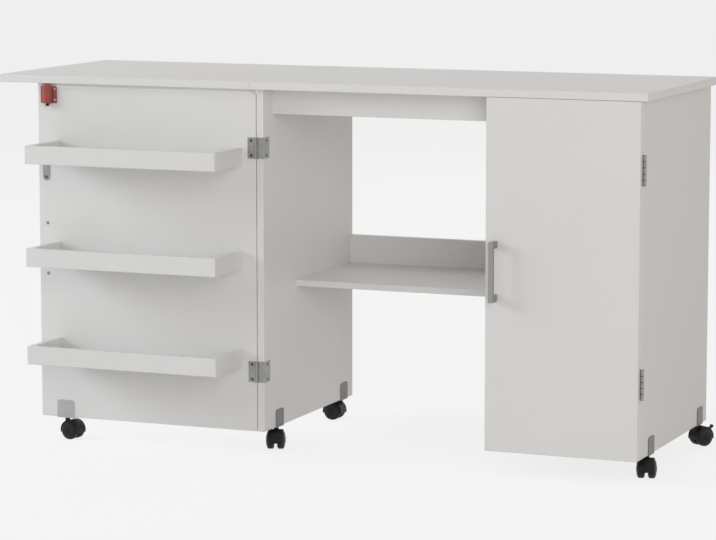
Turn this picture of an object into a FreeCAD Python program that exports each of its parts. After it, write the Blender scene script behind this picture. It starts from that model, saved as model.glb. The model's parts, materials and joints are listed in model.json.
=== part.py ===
import FreeCAD, Part
import os
import re
import Sketcher

# Folding sewing and cutting table, stood open for work. A cabinet on casters carries the main top; a gate
# with three trays swings out on the left and a drop leaf lies over it. Millimetres, +X along the table
# towards the door, +Y to the back, +Z up, origin on the floor in the middle of the open table.

SIZES = {
    # Carcass boards and tops
    "board": 15.0,
    "edge_ease": 0.6,
    "ground": 46.0,
    "panel_height": 702.0,
    "panel_depth": 472.0,
    "top_thickness": 16.0,
    "top_round": 1.0,
    "main_length": 836.0,
    "leaf_length": 572.0,
    "joint_gap": 0.6,
    "left_overhang": 9.0,
    "right_overhang": 13.0,
    "front_overhang": 15.0,
    "rear_overhang": 3.0,
    # Knee space: apron under the top, shelf set back behind the trays, rail at the back of the shelf
    "apron_height": 53.0,
    "apron_setback": 43.0,
    "shelf_height": 327.0,
    "shelf_thickness": 13.0,
    "shelf_setback": 162.0,
    "back_rail_height": 61.0,
    # Compartment behind the door
    "door_width": 315.0,
    "door_gap": 1.6,
    "door_top_gap": 0.5,
    "floor_rise": 4.0,
    "back_thickness": 3.0,
    "shelf_play": 1.0,
    "inner_shelf_setback": 20.0,
    "pin_hold": 8.0,
    "shelf_pin_radius": 2.5,
    "shelf_pin_inset": 40.0,
    # Gate and its trays
    "gate_gap": 1.5,
    "gate_width": 496.0,
    "swing_clear": 0.4,
    "tray_depth": 132.0,
    "tray_height": 37.5,
    "tray_length": 427.0,
    "tray_inset": 32.0,
    "tray_board": 12.0,
    "tray_base": 9.0,
    "tray_lower": 177.0,
    "tray_middle": 379.5,
    "tray_upper_drop": 157.0,
    "stop_width": 18.0,
    "stop_inset": 1.5,
    # Hinges: knuckles on a pin between two leaves
    "running_fit": 0.05,
    "knuckle_slack": 0.4,
    "knuckle_gap": 0.3,
    "gate_hinge_radius": 3.0,
    "gate_hinge_pin": 1.5,
    "gate_hinge_length": 43.0,
    "gate_hinge_plate": 1.2,
    "gate_hinge_width": 15.5,
    "gate_hinge_wrap": 27.0,
    "gate_hinge_low": 169.5,
    "gate_hinge_drop": 119.5,
    "leaf_hinge_radius": 3.0,
    "leaf_hinge_pin": 1.5,
    "leaf_hinge_length": 45.0,
    "leaf_hinge_plate": 1.2,
    "leaf_hinge_width": 20.0,
    "leaf_hinge_drop": 25.0,
    "leaf_hinge_inset": 85.0,
    "door_hinge_radius": 3.5,
    "door_hinge_pin": 1.7,
    "door_hinge_length": 60.0,
    "door_hinge_plate": 0.75,
    "door_hinge_width": 13.0,
    "door_hinge_side": 0.2,
    "door_hinge_low": 196.0,
    "door_hinge_drop": 134.0,
    # Pull handles
    "handle_length": 120.0,
    "handle_foot": 14.0,
    "handle_width": 10.0,
    "handle_bar": 8.0,
    "handle_reach": 26.0,
    "handle_round": 1.2,
    "door_handle_centre": 406.0,
    "gate_handle_centre": 402.0,
    "door_handle_inset": 20.0,
    "gate_handle_inset": 19.0,
    # Strike plates and magnetic catch
    "strike_width": 15.0,
    "strike_length": 50.0,
    "strike_plate": 1.2,
    "strike_corner": 7.4,
    "gate_strike_inset": 10.0,
    "gate_strike_drop": 204.0,
    "catch_reach": 20.0,
    "catch_width": 14.0,
    "catch_length": 40.0,
    "catch_corner": 3.0,
    "catch_drop": 20.0,
    # Latch at the gate's upper corner
    "latch_inset": 8.0,
    "latch_width": 36.0,
    "latch_height": 41.0,
    "latch_flange": 3.0,
    "latch_round": 1.0,
    "latch_body_inset": 16.5,
    "latch_body_radius": 11.0,
    "latch_body_reach": 4.0,
    "latch_top_gap": 0.6,
    "bolt_radius": 2.5,
    "bolt_reach": 6.0,
    "bolt_knob_radius": 4.2,
    "bolt_knob_height": 5.0,
    "bolt_knob_gap": 0.6,
    "button_radius": 4.6,
    "button_inset": 15.0,
    "button_rise": 11.0,
    "button_proud": 1.0,
    "button_length": 4.4,
    "button_travel": 2.2,
    "button_round": 0.8,
    "button_fit": 0.1,
    # Casters and their brackets
    "bracket_plate": 1.5,
    "bracket_width": 38.0,
    "bracket_height": 36.0,
    "bracket_corner": 6.0,
    "sleeve_radius": 6.0,
    "sleeve_height": 1.2,
    "swivel_gap": 0.3,
    "stem_radius": 3.2,
    "stem_depth": 6.6,
    "caster_front": 76.0,
    "caster_rear": 50.0,
    "gate_caster": 55.75,
    "wheel_radius": 19.0,
    "wheel_tread": 13.0,
    "wheel_crown": 3.2,
    "crown_radius": 12.0,
    "crown_round": 16.0,
    "wheel_round": 4.6,
    "wheel_gap": 0.4,
    "wheel_socket": 7.0,
    "axle_radius": 2.0,
    "axle_play": 0.4,
    "trail": 14.0,
    "web": 5.8,
    "hub_radius": 6.0,
    "hood_radius": 22.0,
    "hood_gap": 0.7,
    "hood_width": 32.0,
    "hood_round": 2.2,
    "hood_arc": 204.0,
    "collar_radius": 5.0,
    "brake_angle": 34.0,
    "brake_lift": 30.0,
    "brake_boss": 2.6,
    "brake_width": 8.0,
    "brake_length": 13.5,
    "brake_plate": 2.2,
    "brake_tip": 3.4,
    "brake_fit": 0.4,
    # Directions in which the casters trail, in degrees about +Z
    "gate_caster_turn": -10.0,
    "left_front_turn": -70.0,
    "left_rear_turn": 178.0,
    "right_front_turn": -76.0,
    "right_rear_turn": 55.0,
    # Length by which every cutter passes what it cuts
    "overrun": 1.0,
}

X_AXIS = FreeCAD.Vector(1, 0, 0)
Y_AXIS = FreeCAD.Vector(0, 1, 0)
Z_AXIS = FreeCAD.Vector(0, 0, 1)

# Turns that lay a cylinder's +Z along -Y and along +X, and one that turns a piece to face the back
FORWARD = FreeCAD.Rotation(X_AXIS, 90)
ACROSS = FreeCAD.Rotation(Y_AXIS, 90)
ABOUT = FreeCAD.Rotation(Z_AXIS, 180)

# Main planes, as expressions in the sizes above
LEAF_LEFT = "(-(leaf_length + joint_gap + main_length) / 2)"
LEAF_RIGHT = f"({LEAF_LEFT} + leaf_length)"
JOINT = f"({LEAF_RIGHT} + joint_gap / 2)"
MAIN_LEFT = f"({LEAF_RIGHT} + joint_gap)"
MAIN_RIGHT = f"({MAIN_LEFT} + main_length)"
LEFT_OUT = f"({MAIN_LEFT} + left_overhang)"
LEFT_IN = f"({LEFT_OUT} + board)"
RIGHT_OUT = f"({MAIN_RIGHT} - right_overhang)"
RIGHT_IN = f"({RIGHT_OUT} - board)"
DOOR_LEFT = f"({RIGHT_OUT} - door_width)"
PARTITION_IN = f"({DOOR_LEFT} + board)"
GATE_AXIS = f"({LEFT_OUT} - gate_gap / 2)"
GATE_RIGHT = f"({LEFT_OUT} - gate_gap)"
GATE_LEFT = f"({GATE_RIGHT} - gate_width)"
FRONT = "((tray_depth - panel_depth - rear_overhang) / 2)"
REAR = f"({FRONT} + panel_depth)"
TOP_FRONT = f"({FRONT} - front_overhang)"
TOP_DEPTH = "(front_overhang + panel_depth + rear_overhang)"
UNDER = "(ground + panel_height)"
KNEE_WIDTH = f"({DOOR_LEFT} - {LEFT_IN})"
SHELF_TOP = "(shelf_height + shelf_thickness)"
BAY_FLOOR = "(ground + bracket_height + floor_rise)"
BAY_HEIGHT = f"(({UNDER} - {BAY_FLOOR} - 3 * board) / 3)"
BAY_WIDTH = f"({RIGHT_IN} - {PARTITION_IN})"
BAY_DEPTH = "(panel_depth - back_thickness)"
DOOR_BACK = f"({FRONT} - door_gap)"
DOOR_FACE = f"({DOOR_BACK} - board)"
DOOR_AXIS_X = f"({RIGHT_OUT} + door_hinge_radius + door_hinge_side)"
DOOR_AXIS_Y = f"({FRONT} - door_gap / 2)"
HANDLE_GRIP = "(handle_reach - handle_bar)"
COLLAR_TOP = "(ground - bracket_plate - sleeve_height - swivel_gap)"

# The leaf drops half a degree for each degree that the gate swings, so what stands under the leaf comes out
# if each point of it lies half its distance from the leaf's front edge below the leaf. A strip under the leaf
# fills the room over the gate, and the gate's edge falls away at the same slope behind the strip's front
STOP_DROP = "(front_overhang / 2)"
GATE_DROP = f"({STOP_DROP} + swing_clear)"
GATE_BEVEL = "(board / 2)"

doc = FreeCAD.newDocument("folding_sewing_table")
sheet = doc.addObject("Spreadsheet::Sheet", "sizes")
for row, (alias, size) in enumerate(SIZES.items(), start=1):
    sheet.set(f"A{row}", alias)
    sheet.set(f"B{row}", str(size))
    sheet.setAlias(f"B{row}", alias)
doc.recompute()

nodes = []


def with_sheet(expression):
    """Puts the sheet's name before each size in an expression."""
    names = re.findall(r"[a-z_]+|[^a-z_]+", expression)
    return "".join(f"sizes.{name}" if name in SIZES else name for name in names)


def value_of(expression):
    return float(sheet.evalExpression(with_sheet(expression)))


def bind(item, **expressions):
    for name, expression in expressions.items():
        item.setExpression(name, with_sheet(expression))


def place(item, x, y, z):
    for axis, expression in zip("xyz", (x, y, z)):
        item.setExpression(f"Placement.Base.{axis}", with_sheet(expression))


def node(item, label):
    """Names a sub-part and lists it for the export."""
    item.Label = label
    nodes.append(item)
    return item


# Building blocks: bodies with features, and plain solids for booleans


def new_body(name):
    return doc.addObject("PartDesign::Body", name)


def feature(body, kind, suffix, **expressions):
    item = body.newObject(f"PartDesign::{kind}", f"{body.Name}_{suffix}")
    bind(item, **expressions)
    return item


def additive_box(body, suffix, x, y, z, length, width, height):
    item = feature(body, "AdditiveBox", suffix, Length=length, Width=width, Height=height)
    place(item, x, y, z)
    return item


def round_feature(body, kind, suffix, radius, x, y, z, height, turn=None):
    """A cylinder added to or cut from a body, standing on +Z unless it is turned."""
    item = feature(body, kind, suffix, Radius=radius, Height=height)
    if turn is not None:
        item.Placement = FreeCAD.Placement(FreeCAD.Vector(), turn)
    place(item, x, y, z)
    return item


def soften(body, kind, suffix, size, chosen=None):
    """Fillets or chamfers the edges of the body's last feature that the test picks, or all of them."""
    doc.recompute()
    base = body.Tip
    edges = base.Shape.Edges
    names = [f"Edge{index}" for index, edge in enumerate(edges, start=1) if chosen is None or chosen(edge)]
    item = body.newObject(f"PartDesign::{kind}", f"{body.Name}_{suffix}")
    item.Base = (base, names)
    bind(item, **{"Radius" if kind == "Fillet" else "Size": size})
    return item


def along(edge, direction):
    ends = edge.Vertexes
    return len(ends) == 2 and (ends[1].Point - ends[0].Point).cross(direction).Length < edge.Length / 1000


def circle_of(radius):
    """Picks the round edges of one radius."""
    size = value_of(radius)
    return lambda edge: hasattr(edge.Curve, "Radius") and abs(edge.Curve.Radius - size) < size / 1000


def outline(body, suffix, role, points):
    """A closed sketch on one of the body's planes, each corner placed by two expressions."""
    sketch = body.newObject("Sketcher::SketchObject", f"{body.Name}_{suffix}")
    plane = next(item for item in body.Origin.OriginFeatures if item.Role == role)
    sketch.AttachmentSupport = [(plane, "")]
    sketch.MapMode = "FlatFace"
    corners = [FreeCAD.Vector(value_of(across), value_of(up), 0) for across, up in points]
    count = len(corners)
    for start, end in zip(corners, corners[1:] + corners[:1]):
        sketch.addGeometry(Part.LineSegment(start, end), False)
    for index in range(count):
        sketch.addConstraint(Sketcher.Constraint("Coincident", index, 2, (index + 1) % count, 1))
    for index, corner in enumerate(points):
        for kind, expression in zip(("DistanceX", "DistanceY"), corner):
            constraint = Sketcher.Constraint(kind, -1, 1, index, 1, value_of(expression))
            number = sketch.addConstraint(constraint)
            sketch.setExpression(f"Constraints[{number}]", with_sheet(expression))
    return sketch


def pad(body, suffix, sketch, length, symmetric=False):
    item = feature(body, "Pad", suffix, Length=length)
    item.Profile = sketch
    if symmetric:
        item.SideType = "Symmetric"
    return item


def block(name, x, y, z, length, width, height):
    item = doc.addObject("Part::Box", name)
    bind(item, Length=length, Width=width, Height=height)
    place(item, x, y, z)
    return item


def rod(name, x, y, z, radius, height, turn=None):
    item = doc.addObject("Part::Cylinder", name)
    bind(item, Radius=radius, Height=height)
    if turn is not None:
        item.Placement = FreeCAD.Placement(FreeCAD.Vector(), turn)
    place(item, x, y, z)
    return item


def fused(name, pieces):
    item = doc.addObject("Part::MultiFuse", name)
    item.Shapes = pieces
    item.Refine = True
    return item


def cut(name, base, tool):
    item = doc.addObject("Part::Cut", name)
    item.Base = base
    item.Tool = tool
    return item


def group(name, pieces):
    item = doc.addObject("Part::Compound", name)
    item.Links = pieces
    return item


def board(label, x, y, z, length, width, height, kind="Chamfer", size="edge_ease"):
    """A board with eased edges, listed as a sub-part."""
    body = new_body(label)
    additive_box(body, "block", "0", "0", "0", length, width, height)
    soften(body, kind, "ease", size)
    place(body, x, y, z)
    return node(body, label)


# Carcass, tops and door


def carcass():
    panels = {"left_side_panel": LEFT_OUT, "partition_panel": DOOR_LEFT, "right_side_panel": RIGHT_IN}
    for label, left in panels.items():
        board(label, left, FRONT, "ground", "board", "panel_depth", "panel_height")
    tops = {"main_top": (MAIN_LEFT, "main_length"), "leaf_top": (LEAF_LEFT, "leaf_length")}
    for label, (left, length) in tops.items():
        board(label, left, TOP_FRONT, UNDER, length, TOP_DEPTH, "top_thickness", "Fillet", "top_round")
    apron_low = f"({UNDER} - apron_height)"
    board("apron_rail", LEFT_IN, f"{FRONT} + apron_setback", apron_low, KNEE_WIDTH, "board", "apron_height")
    shelf_depth = "(panel_depth - shelf_setback)"
    shelf_front = f"({FRONT} + shelf_setback)"
    board("knee_shelf", LEFT_IN, shelf_front, "shelf_height", KNEE_WIDTH, shelf_depth, "shelf_thickness")
    board("back_rail", LEFT_IN, f"{REAR} - board", SHELF_TOP, KNEE_WIDTH, "board", "back_rail_height")
    stop_length = f"({LEAF_RIGHT} - stop_inset - {GATE_LEFT})"
    stop_low = f"({UNDER} - {STOP_DROP})"
    board("leaf_stop_strip", GATE_LEFT, FRONT, stop_low, stop_length, "stop_width", STOP_DROP)


def compartment():
    board("compartment_bottom", PARTITION_IN, FRONT, BAY_FLOOR, BAY_WIDTH, BAY_DEPTH, "board")
    back_height = f"({UNDER} - {BAY_FLOOR})"
    back_front = f"({REAR} - back_thickness)"
    board("compartment_back", PARTITION_IN, back_front, BAY_FLOOR, BAY_WIDTH, "back_thickness", back_height)
    shelf_left = f"({PARTITION_IN} + shelf_play)"
    shelf_front = f"({FRONT} + inner_shelf_setback)"
    shelf_width = f"({BAY_WIDTH} - 2 * shelf_play)"
    shelf_depth = f"({BAY_DEPTH} - inner_shelf_setback)"
    pins = []
    for level, label in enumerate(("compartment_shelf_lower", "compartment_shelf_upper"), start=1):
        low = f"({BAY_FLOOR} + board + {level} * {BAY_HEIGHT} + {level - 1} * board)"
        board(label, shelf_left, shelf_front, low, shelf_width, shelf_depth, "board")
        for side, left in enumerate((PARTITION_IN, f"({RIGHT_IN} - pin_hold)")):
            for end, y in enumerate((f"({shelf_front} + shelf_pin_inset)", f"({REAR} - shelf_pin_inset)")):
                place_of_pin = (left, y, f"({low} - shelf_pin_radius)")
                name = f"pin_{level}_{side}_{end}"
                pins.append(rod(name, *place_of_pin, "shelf_pin_radius", "pin_hold", ACROSS))
    node(group("pins", pins), "shelf_pins")
    board("door_panel", DOOR_LEFT, DOOR_FACE, "ground", "door_width", "board", "panel_height - door_top_gap")


# Gate, with a top edge bevelled back so that it comes out from under the dropping leaf, and its trays


def gate():
    body = new_body("gate_panel")
    front_height = f"(panel_height - {GATE_DROP})"
    rear_height = f"({front_height} - {GATE_BEVEL})"
    profile = (("0", "0"), ("board", "0"), ("board", rear_height), ("0", front_height))
    pad(body, "board", outline(body, "section", "YZ_Plane", profile), "gate_width")
    soften(body, "Chamfer", "ease", "edge_ease")
    place(body, GATE_LEFT, FRONT, "ground")
    node(body, "gate_panel")
    levels = {"lower": "tray_lower", "middle": "tray_middle", "upper": f"({UNDER} - tray_upper_drop)"}
    for level, low in levels.items():
        tray(f"{level}_tray", low)


def tray(label, low):
    right = f"({GATE_AXIS} - tray_inset)"
    left = f"({right} - tray_length)"
    front = f"({FRONT} - tray_depth)"
    inner_front = f"({front} + tray_board)"
    inner_depth = "(tray_depth - tray_board)"
    inner_length = "(tray_length - 2 * tray_board)"
    inner_left = f"({left} + tray_board)"
    board(f"{label}_front", left, front, low, "tray_length", "tray_board", "tray_height")
    board(f"{label}_base", inner_left, inner_front, low, inner_length, inner_depth, "tray_base")
    ends = []
    for name, x in (("left", left), ("right", f"({right} - tray_board)")):
        body = new_body(f"{label}_{name}_end")
        additive_box(body, "block", "0", "0", "0", "tray_board", inner_depth, "tray_height")
        soften(body, "Chamfer", "ease", "edge_ease")
        place(body, x, inner_front, low)
        ends.append(body)
    node(group(f"{label}_pair", ends), f"{label}_ends")


# Hinges


def hinge_leaf(name, side, kind, low, width, knuckles, count, extras=()):
    """A plate with its share of the knuckles. The pin stands on the local Z axis, half the hinge each way,
    and the plate reaches out along +X or -X, with the lower of its faces at the given Y."""
    length = f"{kind}_hinge_length"
    thick = f"{kind}_hinge_plate"
    half = f"(-{length} / 2)"
    reach = f"({kind}_hinge_radius + knuckle_slack)"
    plate_left = reach if side > 0 else f"(-{reach} - {width})"
    tab_left = "0" if side > 0 else f"(-{reach})"
    pieces = [block(f"{name}_plate", plate_left, low, half, width, thick, length), *extras]
    step = f"({length} / {count})"
    height = f"({step} - knuckle_gap)"
    for number in knuckles:
        start = f"({half} + {number} * {step} + knuckle_gap / 2)"
        pieces.append(rod(f"{name}_knuckle_{number}", "0", "0", start, f"{kind}_hinge_radius", height))
        pieces.append(block(f"{name}_tab_{number}", tab_left, low, start, reach, thick, height))
    bore_radius = f"({kind}_hinge_pin + running_fit)"
    bore = rod(f"{name}_bore", "0", "0", f"({half} - overrun)", bore_radius, f"({length} + 2 * overrun)")
    return cut(name, fused(f"{name}_solid", pieces), bore)


def hinge_set(name, kind, leaves, x, y, z, turn=None):
    """Puts the two leaves of a hinge and a pin between them at one place on the hinge line."""
    length = f"{kind}_hinge_length"
    pin = rod(f"{name}_pin", "0", "0", f"(-{length} / 2)", f"{kind}_hinge_pin", length)
    pieces = (*leaves, group(f"{name}_pin_set", [pin]))
    for item in pieces:
        if turn is not None:
            item.Placement = FreeCAD.Placement(FreeCAD.Vector(), turn)
        place(item, x, y, z)
    return pieces


def list_hinges(kind, fixed_label, moving_label, hinges):
    fixed, moving, pins = zip(*hinges)
    node(group(f"{kind}_fixed_leaves", list(fixed)), fixed_label)
    node(group(f"{kind}_moving_leaves", list(moving)), moving_label)
    return list(pins)


def gate_hinges():
    """One leaf lies on the gate's face; the other covers the panel's edge and wraps onto its inner face."""
    low = "(gate_hinge_radius - gate_hinge_plate)"
    half = "(-gate_hinge_length / 2)"
    wrap_left = f"({LEFT_IN} - {GATE_AXIS})"
    edge_width = f"({wrap_left} + gate_hinge_plate - gate_hinge_radius - knuckle_slack)"
    wrap_depth = "(gate_hinge_plate + gate_hinge_wrap)"
    hinges = []
    heights = {"gate_hinge_low": "gate_hinge_low", "gate_hinge_high": f"({UNDER} - gate_hinge_drop)"}
    for name, z in heights.items():
        wrap_size = ("gate_hinge_plate", wrap_depth, "gate_hinge_length")
        wrap = block(f"{name}_wrap", wrap_left, low, half, *wrap_size)
        leaves = (
            hinge_leaf(f"{name}_fixed", 1, "gate", low, edge_width, (0, 2), 3, (wrap,)),
            hinge_leaf(f"{name}_moving", -1, "gate", low, "gate_hinge_width", (1,), 3),
        )
        hinges.append(hinge_set(name, "gate", leaves, GATE_AXIS, f"({FRONT} - gate_hinge_radius)", z))
    return list_hinges("gate", "gate_hinge_panel_leaves", "gate_hinge_gate_leaves", hinges)


def leaf_hinges():
    """One leaf lies under the drop leaf; the other runs under the main top and down the panel's face."""
    low = "(leaf_hinge_radius - leaf_hinge_plate)"
    half = "(-leaf_hinge_length / 2)"
    face = f"({LEFT_OUT} - {JOINT})"
    top_width = f"({face} - leaf_hinge_radius - knuckle_slack)"
    drop_left = f"({face} - leaf_hinge_plate)"
    drop_low = "(leaf_hinge_radius - leaf_hinge_drop)"
    axis_z = f"({UNDER} - leaf_hinge_radius)"
    rows = (f"({FRONT} + leaf_hinge_inset)", f"({FRONT} + panel_depth / 2)", f"({REAR} - leaf_hinge_inset)")
    hinges = []
    for number, y in enumerate(rows, start=1):
        name = f"leaf_hinge_{number}"
        drop_size = ("leaf_hinge_plate", "leaf_hinge_drop", "leaf_hinge_length")
        drop = block(f"{name}_drop", drop_left, drop_low, half, *drop_size)
        leaves = (
            hinge_leaf(f"{name}_fixed", 1, "leaf", low, top_width, (0, 2), 3, (drop,)),
            hinge_leaf(f"{name}_moving", -1, "leaf", low, "leaf_hinge_width", (1,), 3),
        )
        hinges.append(hinge_set(name, "leaf", leaves, JOINT, y, axis_z, FORWARD))
    return list_hinges("leaf", "leaf_hinge_top_leaves", "leaf_hinge_leaf_leaves", hinges)


def door_hinges():
    """Both leaves lie in the seam between the door and the panel's edge, with the knuckles outside."""
    panel_low = "(door_gap / 2 - door_hinge_plate)"
    door_low = "(-door_gap / 2)"
    hinges = []
    heights = {"door_hinge_low": "door_hinge_low", "door_hinge_high": f"({UNDER} - door_hinge_drop)"}
    for name, z in heights.items():
        leaves = (
            hinge_leaf(f"{name}_fixed", -1, "door", panel_low, "door_hinge_width", (0, 2, 4), 5),
            hinge_leaf(f"{name}_moving", -1, "door", door_low, "door_hinge_width", (1, 3), 5),
        )
        hinges.append(hinge_set(name, "door", leaves, DOOR_AXIS_X, DOOR_AXIS_Y, z))
    return list_hinges("door", "door_hinge_panel_leaves", "door_hinge_door_leaves", hinges)


# Handles, strike plates and the door's magnetic catch


def handle(label, x, y, z, turn):
    """A square bridge pull, padded from its side view; the bar stands off along local -Y."""
    body = new_body(label)
    half = "(handle_length / 2)"
    inner = f"({half} - handle_foot)"
    feet = (("0", f"-{half}"), ("0", f"-{inner}"), (f"-{HANDLE_GRIP}", f"-{inner}"))
    upper = ((f"-{HANDLE_GRIP}", inner), ("0", inner), ("0", half))
    front = (("-handle_reach", half), ("-handle_reach", f"-{half}"))
    side = outline(body, "side", "YZ_Plane", feet + upper + front)
    pad(body, "bridge", side, "handle_width", symmetric=True)
    soften(body, "Fillet", "round", "handle_round")
    body.Placement = FreeCAD.Placement(FreeCAD.Vector(), FreeCAD.Rotation(Z_AXIS, turn))
    place(body, x, y, z)
    node(body, label)


def plate(label, x, y, z, length, width, height, corner, direction):
    """A small flat piece with rounded corners, the corners running along the given direction."""
    body = new_body(label)
    additive_box(body, "block", "0", "0", "0", length, width, height)
    soften(body, "Fillet", "corners", corner, lambda edge: along(edge, direction))
    place(body, x, y, z)
    node(body, label)


def fittings():
    handle("door_handle", f"({DOOR_LEFT} + door_handle_inset)", DOOR_FACE, "door_handle_centre", 0)
    gate_back = f"({FRONT} + board)"
    handle("gate_handle", f"({GATE_LEFT} + gate_handle_inset)", gate_back, "gate_handle_centre", 180)
    strike_size = ("strike_width", "strike_plate", "strike_length", "strike_corner", Y_AXIS)
    strike_left = f"({GATE_LEFT} + gate_strike_inset)"
    strike_front = f"({FRONT} - strike_plate)"
    plate("gate_strike_plate", strike_left, strike_front, f"({UNDER} - gate_strike_drop)", *strike_size)
    catch_low = f"({UNDER} - catch_drop - catch_length)"
    strike_low = f"({catch_low} + catch_length / 2 - strike_length / 2)"
    plate("door_strike_plate", PARTITION_IN, DOOR_BACK, strike_low, *strike_size)
    catch_size = ("catch_width", "catch_reach", "catch_length", "catch_corner", X_AXIS)
    plate("door_catch", PARTITION_IN, FRONT, catch_low, *catch_size)


# Latch on the gate's face under the leaf: half-round housing, pull bolt with a flared knob, push button


def latch():
    left = f"({GATE_LEFT} + latch_inset)"
    top = f"({UNDER} - swing_clear - latch_top_gap)"
    low = f"({top} - latch_height)"
    housing = new_body("latch_housing")
    neck_left = "(latch_body_inset - latch_body_radius)"
    neck_width = "(2 * latch_body_radius)"
    additive_box(housing, "flange", "0", "-latch_flange", "0", "latch_width", "latch_flange", "latch_height")
    neck_size = (neck_width, "latch_body_reach", "latch_height")
    additive_box(housing, "neck", neck_left, "-latch_body_reach", "0", *neck_size)
    barrel = round_feature(housing, "AdditiveCylinder", "barrel", "latch_body_radius",
                           "latch_body_inset", "-latch_body_reach", "0", "latch_height", ABOUT)
    barrel.Angle = 180
    soften(housing, "Fillet", "round", "latch_round", circle_of("latch_body_radius"))
    nose = "(-latch_body_reach - latch_body_radius)"
    slope = ((nose, "latch_height"), ("0", f"(latch_height + {nose} / 2)"), ("0", "latch_height"))
    bevel = feature(housing, "Pocket", "bevel", Length="(2 * latch_width)")
    bevel.Profile = outline(housing, "slope", "YZ_Plane", slope)
    bevel.SideType = "Symmetric"
    round_feature(housing, "SubtractiveCylinder", "bolt_bore", "(bolt_radius + running_fit)",
                  "latch_body_inset", "-bolt_reach", "-overrun", "(latch_height + 2 * overrun)")
    button_front = "(-latch_body_reach - latch_body_radius - button_proud)"
    button_back = f"({button_front} + button_length)"
    bore_back = f"({button_back} + button_travel + button_fit)"
    bore_length = f"({bore_back} - {button_front} + overrun)"
    round_feature(housing, "SubtractiveCylinder", "button_bore", "(button_radius + button_fit)",
                  "button_inset", bore_back, "button_rise", bore_length, FORWARD)
    place(housing, left, FRONT, low)
    node(housing, "latch_housing")

    bolt = new_body("latch_bolt")
    bolt_top_gap = "((front_overhang - bolt_reach + bolt_radius) / 2 + swing_clear)"
    bolt_length = f"(bolt_knob_gap + latch_height + latch_top_gap + swing_clear - {bolt_top_gap})"
    knob = feature(bolt, "AdditiveCone", "knob", Radius1="bolt_knob_radius", Radius2="bolt_radius")
    bind(knob, Height="bolt_knob_height")
    place(knob, "0", "0", "(-bolt_knob_gap - bolt_knob_height)")
    round_feature(bolt, "AdditiveCylinder", "shank", "bolt_radius", "0", "0", "-bolt_knob_gap", bolt_length)
    place(bolt, f"({left} + latch_body_inset)", f"({FRONT} - bolt_reach)", low)
    node(bolt, "latch_bolt")

    button = new_body("latch_button")
    round_feature(button, "AdditiveCylinder", "cap", "button_radius", "0", "0", "0", "button_length", FORWARD)
    front_edge = circle_of("button_radius")
    soften(button, "Fillet", "round", "button_round",
           lambda edge: front_edge(edge) and edge.CenterOfMass.y < 0)
    place(button, f"({left} + button_inset)", f"({FRONT} + {button_back})", f"({low} + button_rise)")
    node(button, "latch_button")


# Caster brackets: a bent channel that straddles a board's lower edge, with the swivel sleeve under it


def bracket(name, x, y, turn):
    body = new_body(name)
    outer = "(board / 2 + bracket_plate)"
    inner = "(board / 2)"
    right = ((outer, "-bracket_plate"), (outer, "bracket_height"), (inner, "bracket_height"), (inner, "0"))
    left = tuple((f"-{across}", up) for across, up in reversed(right))
    pad(body, "channel", outline(body, "section", "XZ_Plane", right + left), "bracket_width", symmetric=True)
    top = value_of("bracket_height")
    soften(body, "Fillet", "corners", "bracket_corner",
           lambda edge: along(edge, X_AXIS) and abs(edge.CenterOfMass.z - top) < top / 1000)
    sleeve_low = "(-bracket_plate - sleeve_height)"
    round_feature(body, "AdditiveCylinder", "sleeve", "sleeve_radius", "0", "0", sleeve_low, "sleeve_height")
    bore_low = f"({sleeve_low} - overrun)"
    bore_height = "(bracket_plate + sleeve_height + 2 * overrun)"
    round_feature(body, "SubtractiveCylinder", "bore", "(stem_radius + running_fit)",
                  "0", "0", bore_low, bore_height)
    body.Placement = FreeCAD.Placement(FreeCAD.Vector(), FreeCAD.Rotation(Z_AXIS, turn))
    place(body, x, y, "ground")
    return body


# Casters, each modelled with its swivel axis on local Z and its axle along local Y


def stand(item, x, y, turn):
    """Sets a caster's piece on the floor under its bracket, turned to its trail direction."""
    place(item, x, y, "0")
    item.setExpression("Placement.Rotation.Angle", with_sheet(turn))


def brake_pivot():
    return (
        "(trail + hood_radius * cos(brake_angle * 1 deg))",
        "(wheel_radius + hood_radius * sin(brake_angle * 1 deg))",
    )


def hood(name, braked):
    """A drum sector with wheel wells on both sides of a web, a hub for the axle and a collar for the stem."""
    body = new_body(name)
    start = FreeCAD.Rotation(Z_AXIS, (180 - SIZES["hood_arc"]) / 2)
    drum = feature(body, "AdditiveCylinder", "drum", Radius="hood_radius", Height="hood_width")
    bind(drum, Angle="hood_arc")
    drum.Placement = FreeCAD.Placement(FreeCAD.Vector(), FORWARD.multiply(start))
    place(drum, "trail", "(hood_width / 2)", "wheel_radius")
    soften(body, "Fillet", "round", "hood_round", circle_of("hood_radius"))
    collar_low = "(wheel_radius + hub_radius)"
    collar_height = f"({COLLAR_TOP} - {collar_low})"
    round_feature(body, "AdditiveCylinder", "collar", "collar_radius", "0", "0", collar_low, collar_height)
    well_depth = "((hood_width - web) / 2 + overrun)"
    for side, y in (("left", "(-web / 2)"), ("right", "(hood_width / 2 + overrun)")):
        round_feature(body, "SubtractiveCylinder", f"{side}_well", "(wheel_radius + hood_gap)",
                      "trail", y, "wheel_radius", well_depth, FORWARD)
    round_feature(body, "AdditiveCylinder", "hub", "hub_radius",
                  "trail", "(web / 2)", "wheel_radius", "web", FORWARD)
    round_feature(body, "SubtractiveCylinder", "stem_bore", "(stem_radius + running_fit)",
                  "0", "0", f"({COLLAR_TOP} - stem_depth)", "(stem_depth + overrun)")
    round_feature(body, "SubtractiveCylinder", "axle_bore", "(axle_radius + running_fit)",
                  "trail", "(web / 2 + overrun)", "wheel_radius", "(web + 2 * overrun)", FORWARD)
    if braked:
        x, z = brake_pivot()
        slot = "(brake_width + 2 * brake_fit)"
        round_feature(body, "SubtractiveCylinder", "brake_slot", "(brake_boss + brake_fit)",
                      x, f"({slot} / 2)", z, slot, FORWARD)
    return body


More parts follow.
